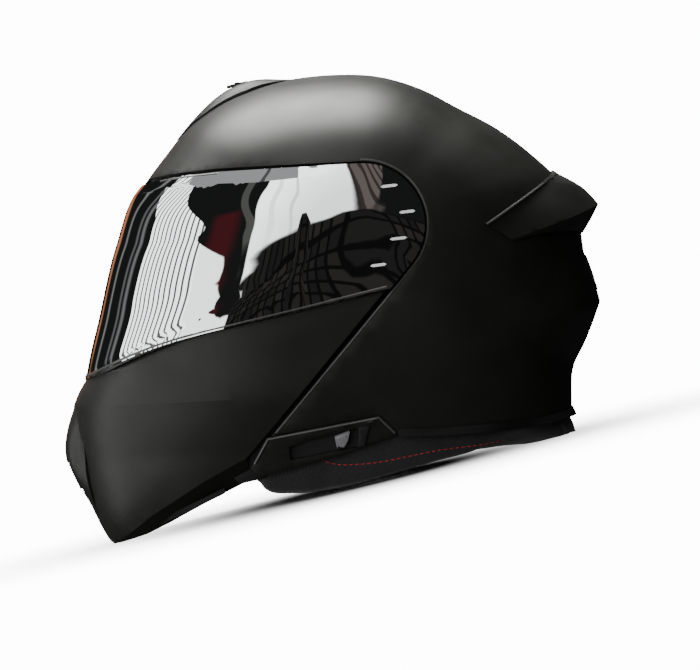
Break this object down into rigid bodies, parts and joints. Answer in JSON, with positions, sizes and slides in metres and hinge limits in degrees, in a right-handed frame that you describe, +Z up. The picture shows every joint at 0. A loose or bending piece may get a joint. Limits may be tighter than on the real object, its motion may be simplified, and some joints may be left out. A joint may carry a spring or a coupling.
{
  "type": "modular flip-up motorcycle helmet",
  "caption": "Modular full-face motorcycle helmet: flip-up chin bar, mirrored visor, drop-down sun visor, sliding vents, rear spoiler, padded liner and ratchet strap.",
  "frame": {"origin": "middle of the bounding box on the plane the helmet stands on", "axes": "+Z up, the face looks along -Y, the wearer's left is +X; standing on its chin tip and the back of its neck roll"},
  "size_m": [0.2602, 0.3621, 0.2632],
  "materials": {
    "shell_black": "soft-touch matte lacquer",
    "trim_black": "moulded matte",
    "rubber_black": "matte",
    "foam_black": "expanded foam",
    "pad_fabric": "brushed mesh cloth",
    "neck_fabric": "coated cloth with red stitching",
    "visor_mirror": "mirror coated polycarbonate",
    "sun_lens": "smoke tinted polycarbonate",
    "steel": "brushed",
    "webbing": "woven",
    "slider_grey": "satin",
    "red_plastic": "satin"
  },
  "bodies": {
    "shell": {"outer_shell": "shell_black", "shell_edge_trim": "rubber_black", "brow_gasket": "rubber_black", "eps_liner": "foam_black", "crown_pad": "pad_fabric", "cheek_pad_left": "pad_fabric", "cheek_pad_right": "pad_fabric", "neck_roll": "neck_fabric", "side_trim_left": "trim_black", "side_trim_right": "trim_black", "rear_spoiler": "shell_black", "top_vent_housing": "shell_black", "rear_exhaust": "trim_black", "pivot_base_left": "steel", "pivot_base_right": "steel", "pivot_bolt_left": "steel", "pivot_bolt_right": "steel", "sun_visor_pivot_left": "steel", "sun_visor_pivot_right": "steel", "latch_striker_left": "steel", "latch_striker_right": "steel", "strap_left": "webbing", "strap_right": "webbing", "strap_rivet_left": "steel", "strap_rivet_right": "steel", "buckle_housing": "steel", "ratchet_tongue": "trim_black"},
    "chin_bar": {"chin_bar": "shell_black", "chin_bar_arm_left": "steel", "chin_bar_arm_right": "steel", "chin_vent_housing": "shell_black", "chin_eps": "foam_black", "chin_lower_trim": "trim_black", "breath_deflector": "rubber_black", "chin_curtain": "pad_fabric", "latch_pin_left": "steel", "latch_pin_right": "steel"},
    "visor": {"visor_lens": "visor_mirror", "visor_ratchet_left": "trim_black", "visor_ratchet_right": "trim_black"},
    "sun_visor": {"sun_visor": "sun_lens"},
    "sun_visor_slider": {"sun_visor_slider": "slider_grey"},
    "top_vent_slider": {"top_vent_slider": "trim_black"},
    "chin_vent_shutter": {"chin_vent_shutter": "trim_black"},
    "release_button": {"release_button": "red_plastic"},
    "latch_left": {"latch_hook_left": "steel"},
    "latch_right": {"latch_hook_right": "steel"},
    "buckle_lever": {"buckle_lever": "red_plastic"}
  },
  "joints": [
    {"name": "chin_bar_hinge", "type": "hinge", "parent": "shell", "child": "chin_bar", "pos_m": [0, 0.031, 0.158], "axis": [-1, 0, 0], "range_deg": [0, 75]},
    {"name": "visor_hinge", "type": "hinge", "parent": "chin_bar", "child": "visor", "pos_m": [0, 0.031, 0.158], "axis": [-1, 0, 0], "range_deg": [0, 40]},
    {"name": "sun_visor_hinge", "type": "hinge", "parent": "shell", "child": "sun_visor", "pos_m": [0, 0.005, 0.15], "axis": [1, 0, 0], "range_deg": [0, 34]},
    {"name": "sun_visor_slide", "type": "slide", "parent": "shell", "child": "sun_visor_slider", "axis": [0, -1, 0], "range_m": [0, 0.027]},
    {"name": "top_vent_slide", "type": "slide", "parent": "shell", "child": "top_vent_slider", "axis": [0, 1, 0], "range_m": [0, 0.008]},
    {"name": "chin_vent_slide", "type": "slide", "parent": "chin_bar", "child": "chin_vent_shutter", "axis": [0, -0.2059, 0.9786], "range_m": [0, 0.006]},
    {"name": "release_press", "type": "slide", "parent": "chin_bar", "child": "release_button", "axis": [0, 0, 1], "range_m": [0, 0.004], "stiffness_N_per_m": 400},
    {"name": "latch_left_hinge", "type": "hinge", "parent": "chin_bar", "child": "latch_left", "pos_m": [0.0875, -0.112, 0.05], "axis": [-1, 0, 0], "range_deg": [0, 25]},
    {"name": "latch_right_hinge", "type": "hinge", "parent": "chin_bar", "child": "latch_right", "pos_m": [-0.0875, -0.112, 0.05], "axis": [-1, 0, 0], "range_deg": [0, 25]},
    {"name": "buckle_lever_hinge", "type": "hinge", "parent": "shell", "child": "buckle_lever", "pos_m": [0.015, 0.006, 0.0172], "axis": [0, -1, 0], "range_deg": [0, 60], "stiffness_Nm_per_rad": 0.02}
  ],
  "couplings": [
    {"joint": "sun_visor_slide", "follows": "sun_visor_hinge", "m_per_rad": 0.0455},
    {"joint": "latch_left_hinge", "follows": "release_press", "rad_per_m": 100},
    {"joint": "latch_right_hinge", "follows": "release_press", "rad_per_m": 100}
  ]
}
